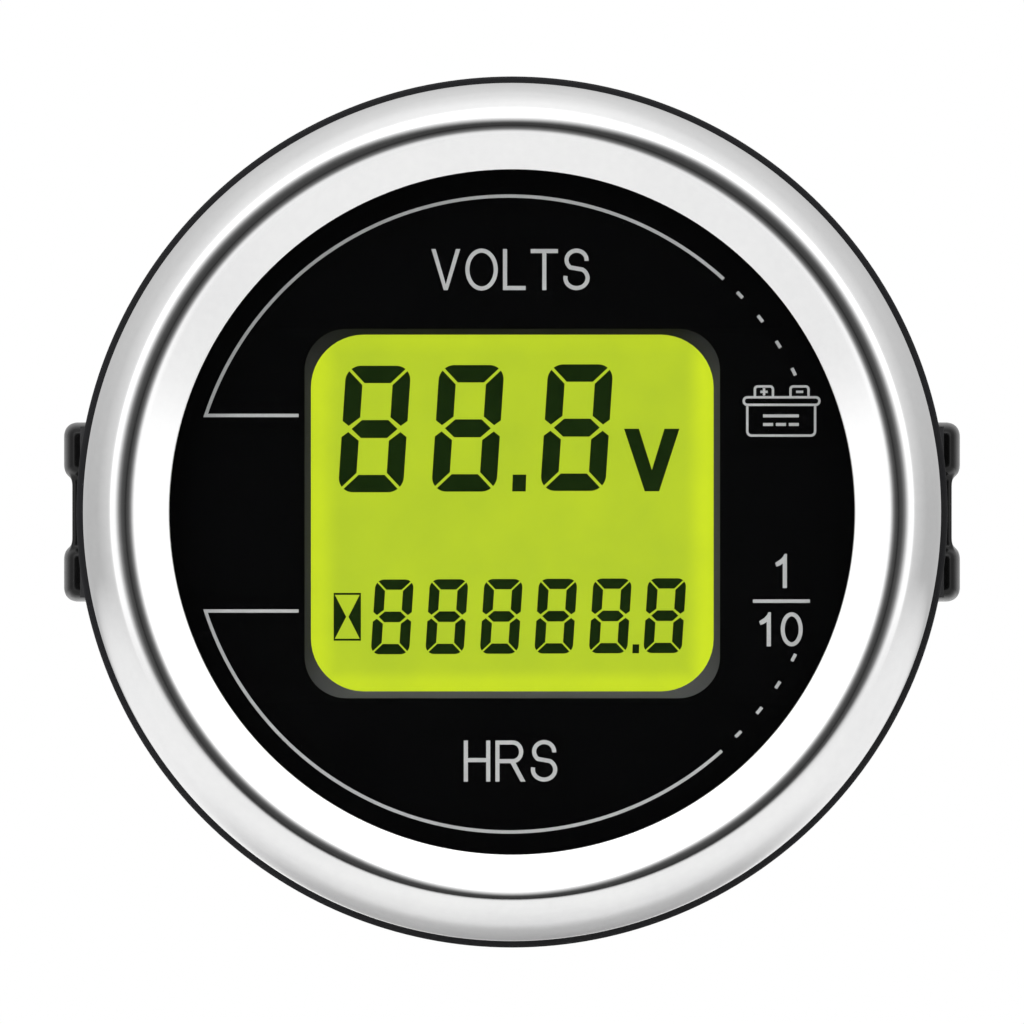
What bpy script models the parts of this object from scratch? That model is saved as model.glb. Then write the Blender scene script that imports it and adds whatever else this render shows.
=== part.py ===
"""A round LCD voltmeter and hour meter for a 52 mm panel cut-out, as an assembly of its pieces.

Sizes are in metres. The pieces are drawn in the meter's own axes: Z = 0 is the panel's front face and
+Z runs out of the dial towards the reader. One empty carries them all and turns the dial to face -Y.
"""

import math

import bmesh
import bpy

# Panel fit
PANEL_HOLE_RADIUS = 0.0260
PANEL_HOLE_CLEARANCE = 0.0002
PANEL_GAP = 0.0030  # from the gasket to the clamp washer, with the nut run up loosely
SEAT_GAP = 0.0002  # between faces that press on each other
SIDE_GAP = 0.0003  # around a piece that drops into a recess or slides on another

# Housing: a moulded cup with a front flange and a barrel that carries the thread
BARREL_WALL = 0.0024
BODY_DEPTH = 0.0260
REAR_WALL = 0.0020
REAR_CHAMFER = 0.0010
FLANGE_THICKNESS = 0.0015
DIAL_LEDGE = 0.0012
CUP_WALL = 0.0025
CUP_CHAMFER = 0.0010  # clears the bend of the bezel's shoulder
PILLAR_COUNT = 4
PILLAR_RADIUS = 0.0028
PILLAR_INSET = 0.0025  # from the barrel's inner wall to a pillar's centre
BOSS_MARGIN = 0.0018  # moulding round a terminal blade
BOSS_LENGTH = 0.0025

# Bezel: a pressed ring, crimped behind the housing's flange
BEZEL_SHEET = 0.0005
BEZEL_CONE_WIDTH = 0.0031  # from the opening to the crest
BEZEL_CREST_RISE = 0.0012  # from the opening's edge to the crest
BEZEL_CREST_FILLET = 0.0020
BEZEL_SHOULDER_DROP = 0.0037  # from the crest to the straight skirt
BEZEL_LIP_WIDTH = 0.0024
BEZEL_LIP_BEND = 0.0008

# Panel gasket: a flat ring with a collar that fills the space inside the crimped lip
GASKET_THICKNESS = 0.0012
GASKET_OVERHANG = 0.0005

# Lens, its seal and the dial
LENS_THICKNESS = 0.0015
LENS_OVERLAP = 0.0025
LENS_CHAMFER = 0.0002
SEAL_THICKNESS = 0.0006
SEAL_SETBACK = 0.0002
DIAL_THICKNESS = 0.0008
DIAL_OVERLAP = 0.0004
WINDOW_MARGIN = 0.0004  # frame edge left showing round the display
WINDOW_CORNER = 0.0028

# Display module
FRAME_CLEARANCE = 0.0012  # from the frame's corners to the housing wall
FRAME_CORNER = 0.0040
FRAME_WALL = 0.0011
FRAME_PLATE = 0.0012
VIEW_CORNER = 0.0035
GLASS_SIDE_BORDER = 0.0013
GLASS_END_BORDER = 0.0030
GLASS_THICKNESS = 0.0011
CONTACT_LEDGE = 0.0018  # front glass beyond the rear glass, above and below
BACKLIGHT_THICKNESS = 0.0025
REFLECTOR_THICKNESS = 0.0003
STRIP_END_GAP = 0.0025
LED_DEPTH = 0.0010
LED_WIDTH = 0.0038
LED_HEIGHT = 0.0025

# Circuit board and what is soldered to its rear
BOARD_EDGE_GAP = 0.0006
BOARD_THICKNESS = 0.0016
SCREW_SHANK_RADIUS = 0.0010
SCREW_HEAD_RADIUS = 0.0019
SCREW_HEAD_HEIGHT = 0.0013
SCREW_LENGTH = 0.0080
CHIP_SIDE = 0.0100
CHIP_HEIGHT = 0.0014
CHIP_PLACE = (0.0, 0.0060)
REGULATOR_WIDTH = 0.0065
REGULATOR_LENGTH = 0.0061
REGULATOR_HEIGHT = 0.0023
REGULATOR_PLACE = (-0.0120, 0.0050)
CAPACITOR_RADIUS = 0.0032
CAPACITOR_HEIGHT = 0.0077
CAPACITOR_PLACE = (0.0120, 0.0050)
CRYSTAL_LENGTH = 0.0110
CRYSTAL_WIDTH = 0.0046
CRYSTAL_HEIGHT = 0.0035
CRYSTAL_PLACE = (0.0, -0.0045)

# Terminals: flat blades that pass through the rear wall and are soldered into the board
TERMINAL_SPACING = 0.0160
TERMINAL_DROP = 0.0080
BLADE_WIDTH = 0.0063
BLADE_THICKNESS = 0.0008
BLADE_RELIEF = 0.00005  # each side of the blade inside the housing is coined down by this
BLADE_LENGTH = 0.0080  # outside the boss
BLADE_POINT = 0.0011
BLADE_HOLE_RADIUS = 0.0008
BLADE_HOLE_SETBACK = 0.0036
BLADE_SLOPE = 0.0005  # fall of the shoulders from the leg to the blade
LEG_WIDTH = 0.0024
TERMINAL_SEAL_THICKNESS = 0.0015

# Clamp washer and winged ring nut
WASHER_THICKNESS = 0.0012
WASHER_WIDTH = 0.0035
EAR_SETBACK = 0.0002  # ear edge inside the gasket's rim
NUT_THICKNESS = 0.0080
NUT_WALL = 0.0023
NUT_FLANGE_WIDTH = 0.0031
NUT_FLANGE_THICKNESS = 0.0018
NUT_CHAMFER = 0.0004
WING_OVERHANG = 0.0010  # lugs beyond the gasket's rim
WING_HEIGHT = 0.0126
WING_LENGTH = 0.0066
LUG_HEIGHT = 0.0040
LUG_ROUNDING = 0.0010
SADDLE_DEPTH = 0.0006
SADDLE_SETBACK = 0.0007
SADDLE_ROUNDING = 0.0003

# Facets
RING_STEPS = 64
SMALL_STEPS = 16
CORNER_STEPS = 5

# Radii, worked outwards from the panel hole
barrel_radius = PANEL_HOLE_RADIUS - PANEL_HOLE_CLEARANCE
cavity_radius = barrel_radius - BARREL_WALL
rabbet_radius = cavity_radius + DIAL_LEDGE
dial_radius = rabbet_radius - SIDE_GAP
opening_radius = dial_radius - DIAL_OVERLAP
lens_radius = opening_radius + LENS_OVERLAP
cup_radius = lens_radius + SIDE_GAP
flange_radius = cup_radius + CUP_WALL
bezel_radius = flange_radius + SIDE_GAP + BEZEL_SHEET
lip_radius = bezel_radius - BEZEL_LIP_WIDTH
gasket_radius = bezel_radius + GASKET_OVERHANG
sliding_bore = barrel_radius + SIDE_GAP
board_radius = cavity_radius - BOARD_EDGE_GAP
pillar_circle = cavity_radius - PILLAR_INSET

# Heights, worked forwards from the panel's front face
lip_rear = GASKET_THICKNESS + SEAT_GAP
flange_rear = lip_rear + BEZEL_SHEET + SEAT_GAP
shoulder = flange_rear + FLANGE_THICKNESS
dial_rear = shoulder - DIAL_THICKNESS
seal_rear = shoulder + SEAT_GAP
lens_rear = seal_rear + SEAL_THICKNESS + SEAT_GAP
lens_front = lens_rear + LENS_THICKNESS
bezel_edge = lens_front + SEAT_GAP + BEZEL_SHEET
bezel_crest = bezel_edge + BEZEL_CREST_RISE

# Heights of the display stack, worked backwards from the dial
frame_front = dial_rear - SEAT_GAP
front_glass_front = frame_front - FRAME_PLATE - SEAT_GAP
front_glass_rear = front_glass_front - GLASS_THICKNESS
rear_glass_front = front_glass_rear - SEAT_GAP
backlight_front = rear_glass_front - GLASS_THICKNESS - SEAT_GAP
reflector_front = backlight_front - BACKLIGHT_THICKNESS - SEAT_GAP
board_front = reflector_front - REFLECTOR_THICKNESS - SEAT_GAP
board_rear = board_front - BOARD_THICKNESS
pillar_top = board_rear - SEAT_GAP
floor = REAR_WALL - BODY_DEPTH

# Half sizes of the display, worked inwards from the housing wall
ROOT_TWO = math.sqrt(2)
frame_half = (cavity_radius - FRAME_CLEARANCE + FRAME_CORNER * (ROOT_TWO - 1)) / ROOT_TWO
glass_half = frame_half - FRAME_WALL - SIDE_GAP
view_half_width = glass_half - GLASS_SIDE_BORDER
view_half_height = glass_half - GLASS_END_BORDER
rear_glass_half_height = glass_half - CONTACT_LEDGE
backlight_half_width = glass_half - LED_DEPTH - SEAT_GAP


def clear_scene():
    for obj in list(bpy.data.objects):
        bpy.data.objects.remove(obj, do_unlink=True)


def new_collection(name):
    collection = bpy.data.collections.new(name)
    bpy.context.scene.collection.children.link(collection)
    return collection


clear_scene()
PARTS = new_collection("panel_voltmeter")
CUTTERS = new_collection("panel_voltmeter_cutters")
CUTTERS.hide_render = True
METER_AXIS = bpy.data.objects.new("meter_axis", None)
METER_AXIS.rotation_euler = (math.radians(90), 0, 0)
PARTS.objects.link(METER_AXIS)


# Outlines, as lists of points

def arc(centre, radii, start, end, steps):
    """Points on an ellipse's arc, both ends included, with the angles in degrees."""
    points = []
    for step in range(steps + 1):
        angle = math.radians(start + (end - start) * step / steps)
        x = centre[0] + radii[0] * math.cos(angle)
        y = centre[1] + radii[1] * math.sin(angle)
        points.append((x, y))
    return points


def circle(radius, steps, centre=(0, 0)):
    return arc(centre, (radius, radius), 0, 360, steps)[:-1]


def rectangle(half_width, half_height, centre=(0, 0)):
    x, y = centre
    return [
        (x - half_width, y - half_height),
        (x + half_width, y - half_height),
        (x + half_width, y + half_height),
        (x - half_width, y + half_height),
    ]


def rounded_rectangle(half_width, half_height, corner):
    points = []
    for start, side, end in ((0, 1, 1), (90, -1, 1), (180, -1, -1), (270, 1, -1)):
        centre = (side * (half_width - corner), end * (half_height - corner))
        points += arc(centre, (corner, corner), start, start + 90, CORNER_STEPS)
    return points


# Meshes

def plain_mesh(obj):
    """The closed mesh that an object's curve or modifiers make, welded and facing out; the object goes."""
    graph = bpy.context.evaluated_depsgraph_get()
    mesh = bpy.data.meshes.new_from_object(obj.evaluated_get(graph))
    bpy.data.objects.remove(obj)
    shape = bmesh.new()
    shape.from_mesh(mesh)
    bmesh.ops.remove_doubles(shape, verts=shape.verts, dist=1e-6)
    bmesh.ops.recalc_face_normals(shape, faces=shape.faces)
    shape.to_mesh(mesh)
    shape.free()
    mesh.shade_smooth()
    mesh.set_sharp_from_angle(angle=math.radians(30))
    return mesh


def turned_object(profile, closed, steps):
    """A profile of (radius, height) points with the Screw modifier that turns it round Z."""
    mesh = bpy.data.meshes.new("profile")
    last = len(profile) if closed else len(profile) - 1
    edges = [(index, (index + 1) % len(profile)) for index in range(last)]
    mesh.from_pydata([(radius, 0, height) for radius, height in profile], edges, [])
    obj = bpy.data.objects.new("profile", mesh)
    CUTTERS.objects.link(obj)
    screw = obj.modifiers.new("turn", "SCREW")
    screw.steps = steps
    screw.render_steps = steps
    screw.use_merge_vertices = True
    screw.merge_threshold = 1e-6
    return obj


def turned(profile, closed=True, steps=RING_STEPS):
    return plain_mesh(turned_object(profile, closed, steps))


def pressed(profile, thickness):
    """A turned sheet: the open profile is its outer skin and the thickness lies behind it."""
    obj = turned_object(profile, closed=False, steps=RING_STEPS)
    shell = obj.modifiers.new("sheet", "SOLIDIFY")
    shell.thickness = thickness
    shell.offset = -1
    shell.use_even_offset = True
    return plain_mesh(obj)


def plate(outlines, thickness):
    """A flat plate about Z = 0: the first outline is its edge and the others are holes through it."""
    curve = bpy.data.curves.new("outline", "CURVE")
    curve.dimensions = "2D"
    curve.fill_mode = "BOTH"
    curve.extrude = thickness / 2
    for outline in outlines:
        spline = curve.splines.new("POLY")
        spline.points.add(len(outline) - 1)
        spline.use_cyclic_u = True
        for point, (x, y) in zip(spline.points, outline):
            point.co = (x, y, 0, 1)
    obj = bpy.data.objects.new("outline", curve)
    CUTTERS.objects.link(obj)
    return plain_mesh(obj)


def strip(rows):
    """A flat strip about Z = 0 from rows of (half width, height, half thickness)."""
    mesh = bpy.data.meshes.new("strip")
    shape = bmesh.new()
    rungs = []
    for half_width, height, half_thickness in rows:
        section = rectangle(half_width, half_thickness)
        rungs.append([shape.verts.new((x, height, z)) for x, z in section])
    for upper, lower in zip(rungs, rungs[1:]):
        for corner in range(4):
            shape.faces.new((upper[corner], upper[corner - 1], lower[corner - 1], lower[corner]))
    shape.faces.new(rungs[0])
    shape.faces.new(rungs[-1])
    bmesh.ops.recalc_face_normals(shape, faces=shape.faces)
    shape.to_mesh(mesh)
    shape.free()
    return mesh


def box(width, height, depth):
    mesh = bpy.data.meshes.new("box")
    shape = bmesh.new()
    bmesh.ops.create_cube(shape, size=1)
    bmesh.ops.scale(shape, vec=(width, height, depth), verts=shape.verts)
    shape.to_mesh(mesh)
    shape.free()
    return mesh


# Objects

def material(name, colour, roughness, metallic=0.0, transmission=0.0):
    new = bpy.data.materials.new(name)
    new.use_nodes = True
    surface = new.node_tree.nodes["Principled BSDF"]
    surface.inputs["Base Color"].default_value = (*colour, 1)
    surface.inputs["Roughness"].default_value = roughness
    surface.inputs["Metallic"].default_value = metallic
    surface.inputs["Transmission Weight"].default_value = transmission
    return new


def add_part(name, mesh, surface, place=(0, 0, 0), turn=(0, 0, 0)):
    mesh.name = name
    mesh.materials.append(surface)
    obj = bpy.data.objects.new(name, mesh)
    obj.location = place
    obj.rotation_euler = turn
    obj.parent = METER_AXIS
    PARTS.objects.link(obj)
    return obj


def add_cutter(name, mesh, place=(0, 0, 0), turn=(0, 0, 0)):
    """A helper solid that a Boolean joins to a part or cuts from it."""
    mesh.name = name
    obj = bpy.data.objects.new(name, mesh)
    obj.location = place
    obj.rotation_euler = turn
    obj.parent = METER_AXIS
    obj.hide_render = True
    obj.display_type = "WIRE"
    CUTTERS.objects.link(obj)
    return obj


def combine(part, operation, helper):
    change = part.modifiers.new(helper.name, "BOOLEAN")
    change.operation = operation
    change.solver = "EXACT"
    change.object = helper


def round_edges(obj, radius, segments):
    bevel = obj.modifiers.new("rounding", "BEVEL")
    bevel.width = radius
    bevel.segments = segments
    bevel.limit_method = "ANGLE"


# Front of the meter

def make_bezel():
    """Cone from the opening up to a small crest, an elliptic shoulder, the skirt and the crimped lip."""
    crest_radius = opening_radius + BEZEL_CONE_WIDTH
    fillet = BEZEL_CREST_FILLET
    fillet_centre = (crest_radius, bezel_crest - fillet)
    run = fillet_centre[0] - opening_radius
    rise = fillet_centre[1] - bezel_edge
    cone = math.degrees(math.atan2(rise, run) + math.asin(fillet / math.hypot(run, rise)))
    shoulder_radii = (bezel_radius - crest_radius, BEZEL_SHOULDER_DROP)
    shoulder_centre = (crest_radius, bezel_crest - BEZEL_SHOULDER_DROP)
    bend = BEZEL_LIP_BEND
    bend_centre = (bezel_radius - bend, lip_rear + bend)
    profile = [(opening_radius, bezel_edge)]
    profile += arc(fillet_centre, (fillet, fillet), 90 + cone, 90, 4)
    profile += arc(shoulder_centre, shoulder_radii, 90, 0, 8)[1:]
    profile += arc(bend_centre, (bend, bend), 0, -90, 3)
    profile.append((lip_radius, lip_rear))
    steel = material("polished_stainless_steel", (0.80, 0.80, 0.80), 0.08, metallic=1.0)
    add_part("bezel", pressed(profile, BEZEL_SHEET), steel)


def make_lens():
    edge = LENS_CHAMFER
    profile = [
        (0, lens_front),
        (lens_radius - edge, lens_front),
        (lens_radius, lens_front - edge),
        (lens_radius, lens_rear + edge),
        (lens_radius - edge, lens_rear),
        (0, lens_rear),
    ]
    glass = material("clear_lens_glass", (0.95, 0.97, 0.96), 0.02, transmission=1.0)
    add_part("lens", turned(profile, closed=False), glass)


def make_lens_seal():
    ring = [
        circle(lens_radius, RING_STEPS),
        circle(opening_radius + SEAL_SETBACK, RING_STEPS),
    ]
    rubber = material("seal_rubber", (0.012, 0.012, 0.013), 0.8)
    place = (0, 0, seal_rear + SEAL_THICKNESS / 2)
    add_part("lens_seal", plate(ring, SEAL_THICKNESS), rubber, place)


def make_dial_plate():
    half_width = view_half_width + WINDOW_MARGIN
    half_height = view_half_height + WINDOW_MARGIN
    outlines = [
        circle(dial_radius, RING_STEPS),
        rounded_rectangle(half_width, half_height, WINDOW_CORNER),
    ]
    ink = material("dial_black_print", (0.004, 0.004, 0.004), 0.6)
    place = (0, 0, dial_rear + DIAL_THICKNESS / 2)
    add_part("dial_plate", plate(outlines, DIAL_THICKNESS), ink, place)


# Display module

def make_display_frame():
    """A tray over the display: a plate with the viewing window, and a skirt down to the board."""
    outside = rounded_rectangle(frame_half, frame_half, FRAME_CORNER)
    view = rounded_rectangle(view_half_width, view_half_height, VIEW_CORNER)
    inner_half = frame_half - FRAME_WALL
    inside = rounded_rectangle(inner_half, inner_half, FRAME_CORNER - FRAME_WALL)
    plastic = material("frame_dark_grey_plastic", (0.03, 0.03, 0.034), 0.5)
    plate_centre = frame_front - FRAME_PLATE / 2
    frame = add_part("display_frame", plate([outside, view], FRAME_PLATE), plastic, (0, 0, plate_centre))
    skirt_rear = board_front + SEAT_GAP
    skirt_height = plate_centre - skirt_rear
    skirt_place = (0, 0, skirt_rear + skirt_height / 2)
    combine(frame, "UNION", add_cutter("frame_skirt", plate([outside, inside], skirt_height), skirt_place))


def make_display_glasses():
    """The front glass overhangs the rear one above and below, where the contact strips press on it."""
    glass = material("display_glass", (0.55, 0.66, 0.10), 0.1)
    corner = FRAME_CORNER - FRAME_WALL
    outlines = {
        "lcd_front_glass": (front_glass_front, rounded_rectangle(glass_half, glass_half, corner)),
        "lcd_rear_glass": (rear_glass_front, rectangle(glass_half, rear_glass_half_height)),
    }
    for name, (front, outline) in outlines.items():
        place = (0, 0, front - GLASS_THICKNESS / 2)
        add_part(name, plate([outline], GLASS_THICKNESS), glass, place)


def make_backlight():
    acrylic = material("backlight_acrylic", (0.75, 0.88, 0.20), 0.3)
    white = material("reflector_white_film", (0.85, 0.85, 0.83), 0.5)
    width = 2 * backlight_half_width
    height = 2 * rear_glass_half_height
    panel_place = (0, 0, backlight_front - BACKLIGHT_THICKNESS / 2)
    add_part("backlight_panel", box(width, height, BACKLIGHT_THICKNESS), acrylic, panel_place)
    sheet_place = (0, 0, reflector_front - REFLECTOR_THICKNESS / 2)
    add_part("reflector_sheet", box(width, height, REFLECTOR_THICKNESS), white, sheet_place)


def make_backlight_leds():
    lamp = material("led_package", (0.80, 0.84, 0.55), 0.4)
    for name, side in (("left", -1), ("right", 1)):
        place = (side * (glass_half - LED_DEPTH / 2), 0, board_front + SEAT_GAP + LED_HEIGHT / 2)
        add_part(f"backlight_led_{name}", box(LED_DEPTH, LED_WIDTH, LED_HEIGHT), lamp, place)


def make_contact_strips():
    """Striped rubber that joins the front glass's ledges to the board."""
    rubber = material("striped_contact_rubber", (0.10, 0.10, 0.11), 0.7)
    front = front_glass_rear - SEAT_GAP
    rear = board_front + SEAT_GAP
    length = 2 * (glass_half - STRIP_END_GAP)
    thickness = CONTACT_LEDGE - 2 * SEAT_GAP
    for name, side in (("upper", 1), ("lower", -1)):
        place = (0, side * (glass_half - CONTACT_LEDGE / 2), (front + rear) / 2)
        add_part(f"contact_strip_{name}", box(length, thickness, front - rear), rubber, place)


# Circuit board

def pillar_centres():
    centres = []
    for index in range(PILLAR_COUNT):
        angle = math.tau * index / PILLAR_COUNT
        centres.append((pillar_circle * math.cos(angle), pillar_circle * math.sin(angle)))
    return centres


def terminal_centres():
    half = TERMINAL_SPACING / 2
    return {"positive": (half, -TERMINAL_DROP), "negative": (-half, -TERMINAL_DROP)}


def make_circuit_board():
    outlines = [circle(board_radius, RING_STEPS)]
    for centre in pillar_centres():
        outlines.append(circle(SCREW_SHANK_RADIUS + SIDE_GAP, SMALL_STEPS, centre))
    for centre in terminal_centres().values():
        slot = (LEG_WIDTH / 2 + SIDE_GAP, BLADE_THICKNESS / 2 + SIDE_GAP)
        outlines.append(rectangle(*slot, centre))
    laminate = material("board_green_laminate", (0.02, 0.16, 0.06), 0.5)
    place = (0, 0, board_rear + BOARD_THICKNESS / 2)
    add_part("circuit_board", plate(outlines, BOARD_THICKNESS), laminate, place)


def make_board_screws():
    """Pan-head screws through the board into the housing's pillars."""
    steel = material("screw_zinc_steel", (0.55, 0.55, 0.52), 0.35, metallic=1.0)
    head = arc((0, 0), (SCREW_HEAD_RADIUS, SCREW_HEAD_HEIGHT), 90, 0, 4)
    shank = [(SCREW_SHANK_RADIUS, 0), (SCREW_SHANK_RADIUS, -SCREW_LENGTH), (0, -SCREW_LENGTH)]
    for number, (x, y) in enumerate(pillar_centres(), start=1):
        mesh = turned(head + shank, closed=False, steps=SMALL_STEPS)
        add_part(f"board_screw_{number}", mesh, steel, (x, y, board_front + SEAT_GAP))


def make_board_components():
    resin = material("component_black_resin", (0.02, 0.02, 0.02), 0.5)
    aluminium = material("capacitor_aluminium", (0.70, 0.71, 0.72), 0.3, metallic=1.0)
    nickel = material("crystal_nickel_can", (0.62, 0.60, 0.55), 0.25, metallic=1.0)
    seat = board_rear - SEAT_GAP
    chip = box(CHIP_SIDE, CHIP_SIDE, CHIP_HEIGHT)
    add_part("microcontroller", chip, resin, (*CHIP_PLACE, seat - CHIP_HEIGHT / 2))
    regulator = box(REGULATOR_WIDTH, REGULATOR_LENGTH, REGULATOR_HEIGHT)
    add_part("voltage_regulator", regulator, resin, (*REGULATOR_PLACE, seat - REGULATOR_HEIGHT / 2))
    can = plate([circle(CAPACITOR_RADIUS, SMALL_STEPS)], CAPACITOR_HEIGHT)
    add_part("filter_capacitor", can, aluminium, (*CAPACITOR_PLACE, seat - CAPACITOR_HEIGHT / 2))
    half_width = CRYSTAL_WIDTH / 2
    crystal = plate([rounded_rectangle(CRYSTAL_LENGTH / 2, half_width, half_width)], CRYSTAL_HEIGHT)
    add_part("timing_crystal", crystal, nickel, (*CRYSTAL_PLACE, seat - CRYSTAL_HEIGHT / 2))


# Housing and terminals

def make_housing():
    """The turned cup, joined with hollow pillars for the board and slotted bosses for the blades."""
    chamfer = REAR_CHAMFER
    profile = [
        (0, floor),
        (cavity_radius, floor),
        (cavity_radius, dial_rear - SEAT_GAP),
        (rabbet_radius, dial_rear - SEAT_GAP),
        (rabbet_radius, shoulder),
        (cup_radius, shoulder),
        (cup_radius, lens_front),
        (flange_radius - CUP_CHAMFER, lens_front),
        (flange_radius, lens_front - CUP_CHAMFER),
        (flange_radius, flange_rear),
        (barrel_radius, flange_rear),
        (barrel_radius, chamfer - BODY_DEPTH),
        (barrel_radius - chamfer, -BODY_DEPTH),
        (0, -BODY_DEPTH),
    ]
    plastic = material("housing_black_plastic", (0.014, 0.014, 0.016), 0.45)
    housing = add_part("housing", turned(profile, closed=False), plastic)
    pillar_height = pillar_top - floor + REAR_WALL / 2
    bore = SCREW_SHANK_RADIUS + SIDE_GAP
    for number, (x, y) in enumerate(pillar_centres(), start=1):
        tube = plate([circle(PILLAR_RADIUS, SMALL_STEPS), circle(bore, SMALL_STEPS)], pillar_height)
        pillar = add_cutter(f"pillar_{number}", tube, (x, y, pillar_top - pillar_height / 2))
        combine(housing, "UNION", pillar)
    boss_depth = BOSS_LENGTH + REAR_WALL / 2
    boss_half = (BLADE_WIDTH / 2 + BOSS_MARGIN, BLADE_THICKNESS / 2 + BOSS_MARGIN)
    slot_half = (BLADE_WIDTH / 2 + SIDE_GAP, BLADE_THICKNESS / 2 + SIDE_GAP)
    boss_centre = -BODY_DEPTH - BOSS_LENGTH + boss_depth / 2
    for name, (x, y) in terminal_centres().items():
        boss = plate([rounded_rectangle(*boss_half, BOSS_MARGIN)], boss_depth)
        combine(housing, "UNION", add_cutter(f"boss_{name}", boss, (x, y, boss_centre)))
        slot = plate([rectangle(*slot_half)], 4 * boss_depth)
        combine(housing, "DIFFERENCE", add_cutter(f"slot_{name}", slot, (x, y, boss_centre)))


def make_terminals():
    """Brass blades, each a leg, sloped shoulders, the blade and its chamfered point, and their seals."""
    brass = material("terminal_tinned_brass", (0.75, 0.62, 0.34), 0.3, metallic=1.0)
    rubber = material("terminal_seal_silicone", (0.30, 0.30, 0.31), 0.7)
    seal_rear_face = floor + SEAT_GAP
    shoulder_height = seal_rear_face + TERMINAL_SEAL_THICKNESS + SEAT_GAP
    mouth = -BODY_DEPTH - BOSS_LENGTH
    point = mouth - BLADE_LENGTH
    hole_height = point + BLADE_HOLE_SETBACK
    blade_half = BLADE_WIDTH / 2
    outer = BLADE_THICKNESS / 2
    inner = outer - BLADE_RELIEF
    rows = [
        (LEG_WIDTH / 2, board_front, inner),
        (LEG_WIDTH / 2, shoulder_height + BLADE_SLOPE, inner),
        (blade_half, shoulder_height, inner),
        (blade_half, mouth, inner),
        (blade_half, mouth - SEAT_GAP, outer),
        (blade_half, point + BLADE_POINT, outer),
        (blade_half - BLADE_POINT, point, outer),
    ]
    flat = (math.radians(90), 0, 0)
    seal_edge = rounded_rectangle(blade_half + BOSS_MARGIN, BLADE_THICKNESS / 2 + BOSS_MARGIN, BOSS_MARGIN)
    seal_slot = rectangle(blade_half + SIDE_GAP, BLADE_THICKNESS / 2 + SIDE_GAP)
    for name, (x, y) in terminal_centres().items():
        blade = add_part(f"terminal_{name}", strip(rows), brass, (x, y, 0), flat)
        drill = plate([circle(BLADE_HOLE_RADIUS, SMALL_STEPS)], 4 * BLADE_THICKNESS)
        combine(blade, "DIFFERENCE", add_cutter(f"hole_{name}", drill, (x, y, hole_height), flat))
        seal_place = (x, y, seal_rear_face + TERMINAL_SEAL_THICKNESS / 2)
        seal = plate([seal_edge, seal_slot], TERMINAL_SEAL_THICKNESS)
        add_part(f"terminal_seal_{name}", seal, rubber, seal_place)


# Panel fixing

def make_panel_gasket():
    collar_radius = lip_radius - SIDE_GAP
    collar_front = flange_rear - SEAT_GAP
    profile = [
        (sliding_bore, collar_front),
        (collar_radius, collar_front),
        (collar_radius, GASKET_THICKNESS),
        (gasket_radius, GASKET_THICKNESS),
        (gasket_radius, 0),
        (sliding_bore, 0),
    ]
    rubber = material("gasket_black_rubber", (0.017, 0.017, 0.019), 0.6)
    add_part("panel_gasket", turned(profile), rubber)


def make_clamp_washer():
    """A flat ring with a straight-edged ear on each side, under the nut's wings."""
    washer_radius = sliding_bore + WASHER_WIDTH
    ear_reach = gasket_radius - EAR_SETBACK
    ear_half = WING_HEIGHT / 2 - SIDE_GAP
    ear_angle = math.degrees(math.asin(ear_half / washer_radius))
    half_steps = RING_STEPS // 2
    outline = [(ear_reach, -ear_half), (ear_reach, ear_half)]
    outline += arc((0, 0), (washer_radius, washer_radius), ear_angle, 180 - ear_angle, half_steps)
    outline += [(-ear_reach, ear_half), (-ear_reach, -ear_half)]
    outline += arc((0, 0), (washer_radius, washer_radius), 180 + ear_angle, 360 - ear_angle, half_steps)
    plastic = material("washer_matte_plastic", (0.022, 0.022, 0.024), 0.75)
    ring = plate([outline, circle(sliding_bore, RING_STEPS)], WASHER_THICKNESS)
    add_part("clamp_washer", ring, plastic, (0, 0, -PANEL_GAP - WASHER_THICKNESS / 2))


def make_ring_nut():
    """A flanged ring with two wings, each a pair of rounded lugs with a saddle between them."""
    ring_radius = sliding_bore + NUT_WALL
    nut_flange = sliding_bore + NUT_FLANGE_WIDTH
    edge = NUT_CHAMFER
    profile = [
        (sliding_bore + edge, 0),
        (nut_flange - edge, 0),
        (nut_flange, -edge),
        (nut_flange, -NUT_FLANGE_THICKNESS),
        (ring_radius, -NUT_FLANGE_THICKNESS - edge),
        (ring_radius, edge - NUT_THICKNESS),
        (ring_radius - edge, -NUT_THICKNESS),
        (sliding_bore + edge, -NUT_THICKNESS),
        (sliding_bore, edge - NUT_THICKNESS),
        (sliding_bore, -edge),
    ]
    plastic = material("nut_black_nylon", (0.010, 0.010, 0.011), 0.3)
    front = -PANEL_GAP - WASHER_THICKNESS - SEAT_GAP
    nut = add_part("ring_nut", turned(profile), plastic, (0, 0, front))
    root = sliding_bore + NUT_WALL / 2
    lug_reach = gasket_radius + WING_OVERHANG
    saddle_reach = lug_reach - SADDLE_DEPTH
    middle = front - NUT_THICKNESS / 2
    for name, side in (("right", 1), ("left", -1)):
        saddle_mesh = box(saddle_reach - root, WING_HEIGHT - LUG_HEIGHT, WING_LENGTH - 2 * SADDLE_SETBACK)
        saddle = add_cutter(f"saddle_{name}", saddle_mesh, (side * (root + saddle_reach) / 2, 0, middle))
        round_edges(saddle, SADDLE_ROUNDING, 2)
        combine(nut, "UNION", saddle)
        for end in (1, -1):
            place = (side * (root + lug_reach) / 2, end * (WING_HEIGHT - LUG_HEIGHT) / 2, middle)
            lug = add_cutter(f"lug_{name}_{end}", box(lug_reach - root, LUG_HEIGHT, WING_LENGTH), place)
            round_edges(lug, LUG_ROUNDING, 3)
            combine(nut, "UNION", lug)


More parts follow.
